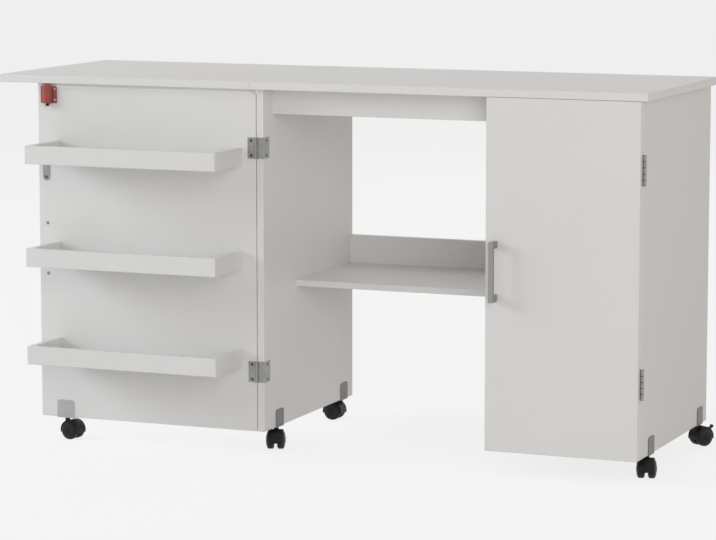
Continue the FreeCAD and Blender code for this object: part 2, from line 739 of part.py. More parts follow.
def wheel(name, side):
    """One wheel of a pair: flat tread with rounded edges and a crowned face over a blind axle bore."""
    body = new_body(name)
    bore = "(axle_radius + running_fit)"
    face = "(wheel_tread + wheel_crown)"
    rim = ((bore, "0"), ("wheel_radius", "0"), ("wheel_radius", "wheel_tread"), ("crown_radius", face))
    hub = (("0", face), ("0", "wheel_socket"), (bore, "wheel_socket"))
    section = outline(body, "section", "XZ_Plane", rim + hub)
    turned = body.newObject("PartDesign::Revolution", f"{name}_turned")
    turned.Profile = section
    turned.ReferenceAxis = (section, ["V_Axis"])
    soften(body, "Fillet", "round", "wheel_round", circle_of("wheel_radius"))
    soften(body, "Fillet", "dome", "crown_round", circle_of("crown_radius"))
    body.Placement = FreeCAD.Placement(FreeCAD.Vector(), FreeCAD.Rotation(X_AXIS, -90 * side))
    place(body, "trail", f"({side} * (web / 2 + wheel_gap))", "wheel_radius")
    return body


def brake(name):
    """A pedal on a round boss in the hood's rim, its end turned up."""
    body = new_body(name)
    half = "(brake_width / 2)"
    round_feature(body, "AdditiveCylinder", "boss", "brake_boss", "0", half, "0", "brake_width", FORWARD)
    arm_size = ("brake_length", "brake_width", "brake_plate")
    additive_box(body, "arm", "0", f"-{half}", "(-brake_plate / 2)", *arm_size)
    tip_size = ("brake_plate", "brake_width", "brake_tip")
    additive_box(body, "tip", "(brake_length - brake_plate)", f"-{half}", "0", *tip_size)
    x, z = brake_pivot()
    body.Placement = FreeCAD.Placement(FreeCAD.Vector(), FreeCAD.Rotation(Y_AXIS, -SIZES["brake_lift"]))
    place(body, x, "0", z)
    return group(f"{name}_set", [body])


def caster(label, x, y, turn, braked=False):
    stem_low = f"({COLLAR_TOP} - stem_depth)"
    stem = rod(f"{label}_stem", "0", "0", stem_low, "stem_radius", f"(ground - swivel_gap - {stem_low})")
    axle_half = "(web / 2 + wheel_gap + wheel_socket - axle_play)"
    axle_place = ("trail", axle_half, "wheel_radius")
    axle = rod(f"{label}_axle", *axle_place, "axle_radius", f"(2 * {axle_half})", FORWARD)
    wheels = [wheel(f"{label}_wheel_{name}", side) for name, side in (("left", 1), ("right", -1))]
    pieces = {
        "hood": hood(f"{label}_body", braked),
        "steel": group(f"{label}_rods", [stem, axle]),
        "wheels": group(f"{label}_pair", wheels),
    }
    if braked:
        pieces["brake"] = brake(f"{label}_pedal")
    for part, item in pieces.items():
        stand(item, x, y, turn)
        node(item, f"{label}_{part}")


def casters():
    left = f"({LEFT_OUT} + board / 2)"
    right = f"({RIGHT_OUT} - board / 2)"
    gate_x = f"({GATE_LEFT} + gate_caster)"
    gate_y = f"({FRONT} + board / 2)"
    front = f"({FRONT} + caster_front)"
    rear = f"({REAR} - caster_rear)"
    corners = {
        "left_front": (left, front),
        "left_rear": (left, rear),
        "right_front": (right, front),
        "right_rear": (right, rear),
    }
    brackets = [bracket(f"{name}_bracket", x, y, 0) for name, (x, y) in corners.items()]
    node(group("bracket_set", brackets), "caster_brackets")
    node(bracket("gate_bracket", gate_x, gate_y, 90), "gate_caster_bracket")
    for name, (x, y) in corners.items():
        caster(f"{name}_caster", x, y, f"{name}_turn", braked=name == "right_rear")
    caster("gate_caster", gate_x, gate_y, "gate_caster_turn")


def export():
    """Checks every object and sub-part, then writes one file for each sub-part."""
    doc.recompute()
    failed = [item.Name for item in doc.Objects if {"Invalid", "Error"} & set(item.State)]
    if failed:
        raise RuntimeError(f"objects failed: {failed}")
    bad = [item.Label for item in nodes if item.Shape.isNull() or not item.Shape.isValid()]
    if bad:
        raise RuntimeError(f"shapes not valid: {bad}")
    os.makedirs("parts", exist_ok=True)
    for item in nodes:
        item.Shape.exportStep(f"parts/{item.Label}.step")


carcass()
compartment()
gate()
pins = gate_hinges() + leaf_hinges() + door_hinges()
node(group("all_pins", pins), "hinge_pins")
fittings()
latch()
casters()
export()
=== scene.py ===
import json
import math

import bmesh
import bpy
from mathutils import Matrix, Vector


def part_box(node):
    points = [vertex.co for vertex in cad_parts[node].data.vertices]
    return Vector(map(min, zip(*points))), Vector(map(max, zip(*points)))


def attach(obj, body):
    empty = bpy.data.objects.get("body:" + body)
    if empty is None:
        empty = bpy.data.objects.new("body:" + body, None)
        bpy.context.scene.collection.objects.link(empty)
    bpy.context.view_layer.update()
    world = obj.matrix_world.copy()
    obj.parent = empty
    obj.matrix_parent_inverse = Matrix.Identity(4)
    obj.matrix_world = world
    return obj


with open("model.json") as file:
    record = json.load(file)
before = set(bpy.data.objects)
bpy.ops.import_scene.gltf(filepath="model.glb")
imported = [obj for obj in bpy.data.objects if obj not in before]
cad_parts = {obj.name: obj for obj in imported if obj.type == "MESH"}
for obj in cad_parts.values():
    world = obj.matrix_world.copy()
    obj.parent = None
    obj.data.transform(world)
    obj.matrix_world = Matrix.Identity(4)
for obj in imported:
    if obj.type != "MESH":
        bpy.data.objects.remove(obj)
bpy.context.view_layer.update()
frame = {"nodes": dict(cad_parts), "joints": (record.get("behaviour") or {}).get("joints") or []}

bl_info = {
    "name": "Folding Sewing Table",
    "version": (1, 0, 0),
    "blender": (4, 5, 0),
    "location": "View3D > Sidebar > Sewing Table",
    "description": "Finishes and small fittings of a folding sewing and cutting table, with a plain studio",
    "category": "Object",
}

NODES = frame["nodes"]
JOINTS = {joint["name"]: joint for joint in frame["joints"]}
CASTERS = ("gate", "left_front", "left_rear", "right_front", "right_rear")
PLATE_NODES = [name for name in NODES if name.endswith(("_leaves", "_steel", "strike_plate", "pins"))]
# Brackets that wear the darker copy of the steel, which is painted shade.
PAINTED_SHADE_BRACKET_NODES = ("caster_brackets",)
# The bracket that wears the lighter copy of the steel, which is painted light.
PAINTED_LIGHT_BRACKET_NODES = ("gate_caster_bracket",)
DOOR_HINGE_NODES = ("door_hinge_panel_leaves", "door_hinge_door_leaves")
HANDLE_NODES = ("door_handle", "gate_handle")
BLACK_NODES = [name for name in NODES if name.endswith(("_hood", "_brake"))] + ["latch_bolt"]
WHEEL_NODES = [name for name in NODES if name.endswith("_wheels")]
METAL_NODES = {*PLATE_NODES, *PAINTED_SHADE_BRACKET_NODES, *PAINTED_LIGHT_BRACKET_NODES, *HANDLE_NODES}
SMALL_NODES = {*METAL_NODES, *BLACK_NODES, *WHEEL_NODES, "latch_housing", "latch_button", "door_catch"}
BOARD_NODES = [name for name in NODES if name not in SMALL_NODES]


def colour_prop(name, description, default):
    return bpy.props.FloatVectorProperty(
        name=name, description=description, default=default, size=3, min=0.0, max=1.0, subtype="COLOR"
    )


def place_prop(name, description, default):
    return bpy.props.FloatVectorProperty(
        name=name, description=description, default=default, size=3, subtype="TRANSLATION"
    )


def number_prop(name, description, default, **kind):
    return bpy.props.FloatProperty(name=name, description=description, default=default, **kind)


def length_prop(name, description, default):
    return number_prop(name, description, default, min=0.0, unit="LENGTH", precision=5)


def power_prop(name, description, default):
    return number_prop(name, description, default, min=0.0, unit="POWER")


class BoardFinish(bpy.types.PropertyGroup):
    face: colour_prop("Face", "Melamine on the boards' faces", (0.780, 0.778, 0.774))
    edge: colour_prop("Edge band", "Banding on the boards' edges", (0.786, 0.783, 0.778))
    # The inside colour is the face's melamine made a little darker: painted shade inside the compartment.
    inner: colour_prop("Inside", "Melamine of the boards inside the compartment", (0.765, 0.763, 0.757))


class MetalFinish(bpy.types.PropertyGroup):
    zinc: colour_prop("Zinc", "Plating of the hinges and strike plates", (0.40, 0.40, 0.395))
    zinc_dark: colour_prop("Zinc shade", "Darker streaks in the plating", (0.30, 0.30, 0.298))
    # Darker than the zinc: painted shade on the brackets of the side panels, which stand in shade.
    bracket: colour_prop("Bracket", "Steel of the caster brackets on the side panels", (0.205, 0.203, 0.200))
    shaded_bracket_streaks: colour_prop("Bracket shade", "Darker streaks in the brackets' steel", (0.155, 0.153, 0.150))
    # Lighter than the side brackets' steel: painted light on the gate's bracket, which faces the light.
    pale: colour_prop("Pale bracket", "Lighter steel of the bracket on the gate", (0.500, 0.500, 0.515))
    lit_bracket_streaks: colour_prop("Pale bracket shade", "Darker streaks in the lighter steel", (0.420, 0.420, 0.435))
    satin: colour_prop("Satin", "Brushed pull handles", (0.380, 0.374, 0.364))
    satin_dark: colour_prop("Satin shade", "Darker brushing lines on the handles", (0.285, 0.280, 0.272))
    white: colour_prop("White screw", "Pale plating of the latch's screws", (0.80, 0.80, 0.78))
    white_dark: colour_prop("White screw shade", "Darker streaks on the latch's screws", (0.62, 0.62, 0.60))


class PlasticFinish(bpy.types.PropertyGroup):
    black: colour_prop("Black", "Hoods, wheels and brake of the casters", (0.0080, 0.0080, 0.0085))
    scuff: colour_prop("Scuff", "Dust and wear on the black plastic", (0.034, 0.033, 0.032))
    latch: colour_prop("Latch", "Moulded latch housing", (0.320, 0.072, 0.055))
    button: colour_prop("Button", "Push button of the latch", (0.72, 0.036, 0.034))
    catch: colour_prop("Catch", "Magnetic catch inside the compartment", (0.70, 0.69, 0.67))


class FittingSizes(bpy.types.PropertyGroup):
    screw_radius: length_prop("Screw head", "Radius of the hinge and plate screws", 0.0031)
    handle_screw_radius: length_prop(
        "Handle screw head", "Radius of the screws through the gate to its handle", 0.0036
    )
    latch_screw_radius: length_prop("Latch screw head", "Radius of the small latch screws", 0.0020)
    wheel_radius: length_prop("Wheel", "Radius of a caster's wheel", 0.0190)
    cap_radius: length_prop("Wheel cap", "Radius of the cap over each wheel's axle end", 0.0062)
    gate_hinge_length: length_prop("Gate hinge", "Length of a gate hinge", 0.043)
    leaf_hinge_length: length_prop("Leaf hinge", "Length of a drop leaf hinge", 0.045)
    hinge_plate: length_prop("Hinge plate", "Thickness of a hinge's plates", 0.0012)
    door_knuckle: length_prop("Door knuckle", "Length of one knuckle of the door's hinges", 0.012)
    hinge_screw_inset: length_prop("Hinge screw inset", "From a hinge's end to its screw", 0.0062)
    handle_foot: length_prop("Handle foot", "Height of a handle's foot", 0.014)
    latch_flange: length_prop("Latch flange", "Thickness of the latch's flange", 0.003)
    latch_screw_inset: length_prop("Latch screw inset", "From the latch's edge to its screws", 0.0036)
    lip_thickness: length_prop("Lip thickness", "Thickness of the lip over the gate's hinge end", 0.0015)
    lip_clear: length_prop("Lip clearance", "From the lip's top to the table top over it", 0.0008)
    lip_reach: length_prop("Lip reach", "How far the lip reaches under the drop leaf", 0.0003)
    lip_foot: length_prop("Lip foot", "Depth of the lip's foot in the gate's edge", 0.0009)


class StudioSettings(bpy.types.PropertyGroup):
    lens: number_prop("Lens", "Focal length in millimetres", 153.47, unit="CAMERA")
    sensor: number_prop("Sensor", "Width of the camera's sensor in millimetres", 36.0)
    reach: length_prop("Reach", "Farthest distance that the camera sees", 400.0)
    eye: place_prop("Eye", "Place of the camera", (2.4009, -5.7860, 1.2062))
    yaw: number_prop("Yaw", "Turn of the view about the vertical", math.radians(22.294), subtype="ANGLE")
    pitch: number_prop("Pitch", "Fall of the view below the horizon", math.radians(7.651), subtype="ANGLE")
    sky: number_prop("Sky", "Strength of the even light from all round", 0.395, min=0.0)
    sky_colour: colour_prop("Sky colour", "Colour of the even light, a little warm", (1.0, 0.925, 0.865))
    aim: place_prop("Aim", "Middle of the table, which the lamps face", (0.0, 0.0, 0.4))
    key: power_prop("Key", "Power of the soft lamp on the left", 139.0)
    key_colour: colour_prop("Key colour", "Colour of the lamp on the left, a little cool", (0.84, 0.94, 1.0))
    key_place: place_prop("Key place", "Place of the lamp on the left", (-4.76, -2.00, 2.32))
    key_width: length_prop("Key width", "Width of the lamp on the left", 2.6)
    fill: power_prop("Fill", "Power of the soft lamp on the right", 119.0)
    fill_colour: colour_prop("Fill colour", "Colour of the lamp on the right", (1.0, 0.97, 0.945))
    fill_place: place_prop("Fill place", "Place of the lamp on the right", (3.70, -5.05, 1.75))
    fill_width: length_prop("Fill width", "Width of the lamp on the right", 4.0)
    back: power_prop("Back", "Power of the soft lamp behind the table", 48.0)
    back_colour: colour_prop("Back colour", "Colour of the lamp behind the table", (1.0, 1.0, 1.0))
    back_place: place_prop("Back place", "Place of the lamp behind the table", (0.30, 5.00, 3.50))
    back_width: length_prop("Back width", "Width of the lamp behind the table", 4.0)
    floor: colour_prop("Floor", "Colour of the pale floor", (0.80, 0.80, 0.80))
    floor_size: length_prop("Floor size", "Width of the floor", 160.0)
    floor_rough: number_prop("Floor roughness", "Roughness of the floor", 0.9)
    floor_gloss: number_prop("Floor gloss", "Specular level of the floor", 0.1)
    floor_glow: number_prop("Floor glow", "Strength of the plain white in the floor", 1.0, min=0.0)
    floor_white: number_prop(
        "Floor white", "Share of plain white in the floor as the camera sees it", 0.80, subtype="FACTOR"
    )


PROPERTY_GROUPS = {
    "table_boards": BoardFinish,
    "table_metal": MetalFinish,
    "table_plastic": PlasticFinish,
    "table_fittings": FittingSizes,
    "table_studio": StudioSettings,
}


# Shader node groups shared by the finishes


def new_group(name, inputs, outputs):
    """A shader node group with named sockets; returns the tree and its two end nodes."""
    tree = bpy.data.node_groups.new(name, "ShaderNodeTree")
    for label, kind in inputs:
        tree.interface.new_socket(name=label, in_out="INPUT", socket_type=kind)
    for label, kind in outputs:
        tree.interface.new_socket(name=label, in_out="OUTPUT", socket_type=kind)
    return tree, tree.nodes.new("NodeGroupInput"), tree.nodes.new("NodeGroupOutput")


def link(tree, source, target):
    tree.links.new(source, target)


def feed(tree, node, index, value):
    """Sets an input to a number or joins it to another node's output."""
    if isinstance(value, bpy.types.NodeSocket):
        link(tree, value, node.inputs[index])
    else:
        node.inputs[index].default_value = value


def math_node(tree, operation, first, second=0.0):
    node = tree.nodes.new("ShaderNodeMath")
    node.operation = operation
    feed(tree, node, 0, first)
    feed(tree, node, 1, second)
    return node.outputs[0]


def vector_node(tree, operation, first, second=(0.0, 0.0, 0.0), output="Vector"):
    node = tree.nodes.new("ShaderNodeVectorMath")
    node.operation = operation
    feed(tree, node, 0, first)
    feed(tree, node, 1, second)
    return node.outputs[output]


def noise(tree, vector, scale, detail=3.0, roughness=0.55):
    node = tree.nodes.new("ShaderNodeTexNoise")
    feed(tree, node, "Vector", vector)
    for socket, value in (("Scale", scale), ("Detail", detail), ("Roughness", roughness)):
        node.inputs[socket].default_value = value
    return node.outputs["Fac"]


def remap(tree, value, low, high, to_low, to_high, smooth=False):
    node = tree.nodes.new("ShaderNodeMapRange")
    node.interpolation_type = "SMOOTHSTEP" if smooth else "LINEAR"
    for index, item in enumerate((value, low, high, to_low, to_high)):
        feed(tree, node, index, item)
    return node.outputs[0]


def mix_colour(tree, share, first, second, mode="MIX"):
    node = tree.nodes.new("ShaderNodeMix")
    node.data_type = "RGBA"
    node.blend_type = mode
    feed(tree, node, 0, share)
    feed(tree, node, 6, first)
    feed(tree, node, 7, second)
    return node.outputs[2]


def scaled(tree, value, share):
    return math_node(tree, "MULTIPLY", value, share)


def split_axes(tree, vector):
    node = tree.nodes.new("ShaderNodeSeparateXYZ")
    link(tree, vector, node.inputs[0])
    return node.outputs


def object_coordinates(tree):
    return tree.nodes.new("ShaderNodeTexCoord").outputs["Object"]


COLOUR, VALUE, VECTOR = "NodeSocketColor", "NodeSocketFloat", "NodeSocketVector"
FINISH_OUTPUTS = (("Colour", COLOUR), ("Roughness", VALUE), ("Height", VALUE))
# The part of a noise's range that its values mostly fill
NOISE_SPAN = (0.3, 0.7)
# Insets in metres between which an edge's banding ends, and its seam comes and goes
BAND_END = (0.0003, 0.0008)
SEAM_RISE = (0.0005, 0.0008)
SEAM_FALL = (0.0009, 0.0014)
# Scales of the noises, in waves to a metre
CLOUD_SCALE, GRAIN_SCALE, PEEL_SCALE = 2.6, 95.0, 620.0
BLOOM_SCALE, FLOW_SCALE, GRIT_SCALE = 140.0, 70.0, 1500.0
# Melamine: swings of the tint and the roughness, and what a seam or a band takes from them
CLOUD_TINT, GRAIN_TINT, SEAM_SHADE = (0.985, 1.015), (-0.006, 0.006), 0.05
CLOUD_ROUGH, GRAIN_ROUGH, BAND_GLOSS, SEAM_DEPTH = (0.44, 0.52), (-0.03, 0.03), 0.06, 1.5
# Metal: shares of the drawn lines and the bloom, the range they fill, and the lines' swing in roughness
LINE_SHARE, BLOOM_SHARE, STREAK_SPAN, LINE_ROUGH = 0.65, 0.35, (0.35, 0.65), (0.06, -0.06)
# Plastic: the flow that scuffs, how much a scuff dulls, the grit's swing in roughness, the flow's relief
SCUFF_SPAN, SCUFF_DULL, GRIT_ROUGH, FLOW_RELIEF = (0.45, 0.75), 0.35, (-0.03, 0.03), 0.4
# Shares of a wheel's radius at which its tread starts and ends, and at which its moulded ring lies
TREAD_SHARES = (0.93, 0.99)
RING_SHARE, RING_WIDTH_SHARES = 0.70, (0.008, 0.03)
# Distances in metres from a knuckle's end between which the painted shade of its gap fades
KNUCKLE_SHADE_FADE = (0.0004, 0.0010)


def melamine_group():
    """Melamine on board: banded edges found from the board's own corners, faint cloud, fine orange peel."""
    tree, given, out = new_group(
        "melamine_board",
        (("Face", COLOUR), ("Edge", COLOUR), ("Low", VECTOR), ("High", VECTOR), ("Skip", VECTOR)),
        FINISH_OUTPUTS,
    )
    place = object_coordinates(tree)
    from_low = vector_node(tree, "SUBTRACT", place, given.outputs["Low"])
    from_high = vector_node(tree, "SUBTRACT", given.outputs["High"], place)
    nearest = vector_node(tree, "MINIMUM", from_low, from_high)
    x, y, z = split_axes(tree, vector_node(tree, "ADD", nearest, given.outputs["Skip"]))
    inset = math_node(tree, "MINIMUM", math_node(tree, "MINIMUM", x, y), z)
    band = remap(tree, inset, *BAND_END, 1.0, 0.0)
    rise, fall = remap(tree, inset, *SEAM_RISE, 0.0, 1.0), remap(tree, inset, *SEAM_FALL, 1.0, 0.0)
    seam = math_node(tree, "MULTIPLY", rise, fall)
    cloud = noise(tree, place, CLOUD_SCALE)
    peel = noise(tree, place, PEEL_SCALE, detail=2.0)
    grain = noise(tree, place, GRAIN_SCALE, detail=4.0)
    shade = mix_colour(tree, band, given.outputs["Face"], given.outputs["Edge"])
    tint = remap(tree, cloud, *NOISE_SPAN, *CLOUD_TINT)
    tint = math_node(tree, "SUBTRACT", tint, scaled(tree, seam, SEAM_SHADE))
    tint = math_node(tree, "ADD", tint, remap(tree, grain, *NOISE_SPAN, *GRAIN_TINT))
    gray = tree.nodes.new("ShaderNodeCombineColor")
    for socket in gray.inputs[:3]:
        link(tree, tint, socket)
    link(tree, mix_colour(tree, 1.0, shade, gray.outputs[0], "MULTIPLY"), out.inputs["Colour"])
    rough = remap(tree, cloud, *NOISE_SPAN, *CLOUD_ROUGH)
    rough = math_node(tree, "ADD", rough, remap(tree, grain, *NOISE_SPAN, *GRAIN_ROUGH))
    link(tree, math_node(tree, "SUBTRACT", rough, scaled(tree, band, BAND_GLOSS)), out.inputs["Roughness"])
    link(tree, math_node(tree, "SUBTRACT", peel, scaled(tree, seam, SEAM_DEPTH)), out.inputs["Height"])
    return tree


def metal_group():
    """Drawn or brushed metal: lines stretched one way, with cloudy plating over them."""
    tree, given, out = new_group(
        "brushed_metal",
        (("Light", COLOUR), ("Dark", COLOUR), ("Stretch", VECTOR), ("Rough", VALUE)),
        FINISH_OUTPUTS,
    )
    place = object_coordinates(tree)
    drawn = vector_node(tree, "MULTIPLY", place, given.outputs["Stretch"])
    lines = noise(tree, drawn, 1.0, detail=5.0, roughness=0.6)
    bloom = noise(tree, place, BLOOM_SCALE, detail=4.0)
    share = math_node(tree, "ADD", scaled(tree, lines, LINE_SHARE), scaled(tree, bloom, BLOOM_SHARE))
    share = remap(tree, share, *STREAK_SPAN, 0.0, 1.0)
    link(tree, mix_colour(tree, share, given.outputs["Dark"], given.outputs["Light"]), out.inputs["Colour"])
    spread = remap(tree, lines, *NOISE_SPAN, *LINE_ROUGH)
    link(tree, math_node(tree, "ADD", given.outputs["Rough"], spread), out.inputs["Roughness"])
    link(tree, lines, out.inputs["Height"])
    return tree


def plastic_group():
    """Moulded plastic: fine grain, a little flow marbling and scuffs that dull it."""
    tree, given, out = new_group(
        "moulded_plastic",
        (("Base", COLOUR), ("Scuff", COLOUR), ("Wear", VALUE), ("Rough", VALUE)),
        FINISH_OUTPUTS,
    )
    place = object_coordinates(tree)
    flow = noise(tree, place, FLOW_SCALE, detail=5.0, roughness=0.65)
    grit = noise(tree, place, GRIT_SCALE, detail=2.0)
    scuff = scaled(tree, remap(tree, flow, *SCUFF_SPAN, 0.0, 1.0, smooth=True), given.outputs["Wear"])
    link(tree, mix_colour(tree, scuff, given.outputs["Base"], given.outputs["Scuff"]), out.inputs["Colour"])
    swing = remap(tree, grit, *NOISE_SPAN, *GRIT_ROUGH)
    dull = math_node(tree, "ADD", scaled(tree, scuff, SCUFF_DULL), swing)
    link(tree, math_node(tree, "ADD", given.outputs["Rough"], dull), out.inputs["Roughness"])
    link(tree, math_node(tree, "ADD", grit, scaled(tree, flow, FLOW_RELIEF)), out.inputs["Height"])
    return tree


def wheel_group():
    """Rings about a wheel's axle: the floor-worn tread and the moulded line round the domed face."""
    tree, given, out = new_group(
        "wheel_rings",
        (("Centre", VECTOR), ("Axle", VECTOR), ("Radius", VALUE)),
        (("Tread", VALUE), ("Ring", VALUE)),
    )
    arm = vector_node(tree, "SUBTRACT", object_coordinates(tree), given.outputs["Centre"])
    arm = vector_node(tree, "CROSS_PRODUCT", arm, given.outputs["Axle"])
    reach = vector_node(tree, "LENGTH", arm, output="Value")
    share = math_node(tree, "DIVIDE", reach, given.outputs["Radius"])
    link(tree, remap(tree, share, *TREAD_SHARES, 0.0, 1.0, smooth=True), out.inputs["Tread"])
    ring = math_node(tree, "ABSOLUTE", math_node(tree, "SUBTRACT", share, RING_SHARE))
    link(tree, remap(tree, ring, *RING_WIDTH_SHARES, 1.0, 0.0, smooth=True), out.inputs["Ring"])
    return tree


def knuckle_shade_group():
    """Dark painted shade in the gaps between the knuckles of a pair of upright hinges, counted from the
    pair's outer ends.
    """
    tree, given, out = new_group(
        "knuckle_seams", (("Low", VALUE), ("High", VALUE), ("Step", VALUE)), (("Seam", VALUE),)
    )
    height = split_axes(tree, object_coordinates(tree))[2]
    from_low = math_node(tree, "SUBTRACT", height, given.outputs["Low"])
    from_high = math_node(tree, "SUBTRACT", given.outputs["High"], height)
    nearest = math_node(tree, "MINIMUM", from_low, from_high)
    fold = math_node(tree, "PINGPONG", nearest, math_node(tree, "DIVIDE", given.outputs["Step"], 2.0))
    link(tree, remap(tree, fold, *KNUCKLE_SHADE_FADE, 1.0, 0.0), out.inputs["Seam"])
    return tree


GROUP_MAKERS = {
    "melamine": melamine_group,
    "metal": metal_group,
    "plastic": plastic_group,
    "wheel": wheel_group,
    "knuckle": knuckle_shade_group,
}
groups = {}


def add_group(tree, group_name, values):
    """Adds one of the groups to a material and sets its inputs."""
    node = tree.nodes.new("ShaderNodeGroup")
    node.node_tree = groups[group_name]
    for label, value in values.items():
        node.inputs[label].default_value = (*value, 1.0) if node.inputs[label].type == "RGBA" else value
    return node


def darker(colour, share):
    return [channel * share for channel in colour]


def surface(name, group_name, values, bump, metallic=0.0, coat=0.0, specular=0.5):
    """A material whose shader takes its colour, roughness and bump from one of the groups."""
    material = bpy.data.materials.new(name)
    material.use_nodes = True
    tree = material.node_tree
    shader = tree.nodes["Principled BSDF"]
    shader.inputs["Metallic"].default_value = metallic
    shader.inputs["Coat Weight"].default_value = coat
    shader.inputs["Specular IOR Level"].default_value = specular
    finish = add_group(tree, group_name, values)
    link(tree, finish.outputs["Colour"], shader.inputs["Base Color"])
    link(tree, finish.outputs["Roughness"], shader.inputs["Roughness"])
    relief = tree.nodes.new("ShaderNodeBump")
    relief.inputs["Strength"].default_value = bump[0]
    relief.inputs["Distance"].default_value = bump[1]
    link(tree, finish.outputs["Height"], relief.inputs["Height"])
    link(tree, relief.outputs["Normal"], shader.inputs["Normal"])
    return material


def wear(piece, material):
    piece.data.materials.clear()
    piece.data.materials.append(material)


# Modelling helpers


def deselect():
    bpy.ops.object.select_all(action="DESELECT")


def choose(*pieces):
    deselect()
    for piece in pieces:
        piece.select_set(True)
    bpy.context.view_layer.objects.active = pieces[-1]


def pick(piece, kind, test):
    """In edit mode, selects the vertices, edges or faces that pass the test."""
    bpy.ops.mesh.select_mode(type=kind)
    bpy.ops.mesh.select_all(action="DESELECT")
    mesh = bmesh.from_edit_mesh(piece.data)
    for item in {"VERT": mesh.verts, "EDGE": mesh.edges, "FACE": mesh.faces}[kind]:
        item.select_set(test(item))
    mesh.select_flush_mode()
    bmesh.update_edit_mesh(piece.data)


def start(name):
    """Names the primitive that was just added and opens it in edit mode."""
    piece = bpy.context.object
    piece.name = name
    bpy.ops.object.transform_apply(location=True, rotation=True, scale=True)
    bpy.ops.object.mode_set(mode="EDIT")
    return piece


def close(piece, angle=35.0):
    bpy.ops.object.mode_set(mode="OBJECT")
    choose(piece)
    bpy.ops.object.shade_smooth_by_angle(angle=math.radians(angle))
    return piece


def carve(piece, cutter):
    """Takes the cutter's shape out of the piece."""
    choose(piece)
    modifier = piece.modifiers.new("recess", "BOOLEAN")
    modifier.operation = "DIFFERENCE"
    modifier.solver = "EXACT"
    modifier.object = cutter
    bpy.ops.object.modifier_apply(modifier=modifier.name)
    bpy.data.objects.remove(cutter)


def facing(point, normal, size):
    """The matrix that stands a piece modelled along +Z, one unit in radius, on a point along a normal."""
    turn = Vector(normal).to_track_quat("Z", "Y").to_matrix().to_4x4()
    return Matrix.Translation(point) @ turn @ Matrix.Scale(size, 4)


def set_out(pattern, name, size, places, body, material):
    """Copies a pattern piece to each place, joins the copies and lets them ride on a body."""
    copies = []
    for point, normal in places:
        item = pattern.copy()
        item.data = pattern.data.copy()
        bpy.context.scene.collection.objects.link(item)
        item.matrix_world = facing(point, normal, size)
        copies.append(item)
    choose(*copies)
    bpy.ops.object.transform_apply(location=True, rotation=True, scale=True)
    bpy.ops.object.join()
    piece = bpy.context.object
    piece.name = name
    wear(piece, material)
    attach(piece, body)


# Shapes of the patterns, as shares of their radius
SCREW_TOP_SHARE, SCREW_DEPTH_SHARE = 0.18, 0.30
SCREW_STEP_SHARE, SCREW_DOME_SHARES, SCREW_ROUND_SHARE = 0.30, (0.10, 0.03), 0.10
SLOT_LIFT_SHARE, SLOT_SHARES, SLOT_TAPER_SHARES = 0.10, (1.15, 0.26, 0.50), (0.55, 0.70, 1.0)
CAP_DEPTH_SHARE, CAP_ROUND_SHARE = 0.22, 0.08
CAP_RIM_SHARE, CAP_STEP_SHARE, CAP_DISH_SHARE = 0.18, 0.08, -0.08
CAP_BOSS_INSET_SHARE, CAP_BOSS_SHARE = 0.34, 0.05
SCREW_SIDES, CAP_SIDES = 28, 40
# What counts as facing along an axis, as out at the rim, and as level with it
FACING, OUTER_SHARE, LEVEL_SHARE = 0.9, 0.95, 0.01


def screw_pattern():
    """A raised countersunk head with a cross recess, one unit in radius, its seat at the origin."""
    deselect()
    top, depth = SCREW_TOP_SHARE, SCREW_DEPTH_SHARE
    middle = (0, 0, top - depth / 2)
    bpy.ops.mesh.primitive_cylinder_add(vertices=SCREW_SIDES, radius=1.0, depth=depth, location=middle)
    head = start("screw_pattern")
    pick(head, "FACE", lambda face: face.normal.z > FACING)
    for rise in SCREW_DOME_SHARES:
        bpy.ops.mesh.inset(thickness=SCREW_STEP_SHARE)
        bpy.ops.transform.translate(value=(0, 0, rise))

    def on_rim(point):
        return abs(point.co.z - top) < LEVEL_SHARE and point.co.xy.length > OUTER_SHARE

    pick(head, "EDGE", lambda edge: all(on_rim(point) for point in edge.verts))
    bpy.ops.mesh.bevel(offset=SCREW_ROUND_SHARE, segments=2)
    close(head)
    for turn in (0.0, math.pi / 2):
        carve(head, screw_slot(top, turn))
    return close(head)


def screw_slot(top, turn):
    """One arm of the cross recess, narrowing towards its floor."""
    deselect()
    middle = (0, 0, top + SLOT_LIFT_SHARE)
    bpy.ops.mesh.primitive_cube_add(size=1.0, location=middle)
    arm = start("screw_slot")
    bpy.ops.transform.resize(value=SLOT_SHARES, center_override=middle)
    pick(arm, "FACE", lambda face: face.normal.z < -FACING)
    bpy.ops.transform.resize(value=SLOT_TAPER_SHARES, center_override=(0, 0, 0))
    bpy.ops.mesh.select_all(action="SELECT")
    bpy.ops.transform.rotate(value=turn, orient_axis="Z", center_override=(0, 0, 0))
    bpy.ops.object.mode_set(mode="OBJECT")
    return arm


def cap_pattern():
    """A shallow wheel cap one unit in radius: a dished face inside a rolled rim."""
    deselect()
    depth = CAP_DEPTH_SHARE
    bpy.ops.mesh.primitive_cylinder_add(vertices=CAP_SIDES, radius=1.0, depth=depth, location=(0, 0, 0))
    cap = start("cap_pattern")
    pick(cap, "FACE", lambda face: face.normal.z > FACING)
    bpy.ops.mesh.inset(thickness=CAP_RIM_SHARE)
    bpy.ops.mesh.inset(thickness=CAP_STEP_SHARE)
    bpy.ops.transform.translate(value=(0, 0, CAP_DISH_SHARE))
    bpy.ops.mesh.inset(thickness=CAP_BOSS_INSET_SHARE)
    bpy.ops.transform.translate(value=(0, 0, CAP_BOSS_SHARE))
    pick(cap, "EDGE", lambda edge: all(v.co.xy.length > OUTER_SHARE and v.co.z > 0 for v in edge.verts))
    bpy.ops.mesh.bevel(offset=CAP_ROUND_SHARE, segments=3)
    return close(cap, angle=40.0)


def end_rows(low, high, length, inset):
    """Two rows near the ends of each of two hinges that lie at the ends of a span."""
    return [low + inset, low + length - inset, high - length + inset, high - inset]


def drop_pattern(pattern):
    bpy.data.objects.remove(pattern)


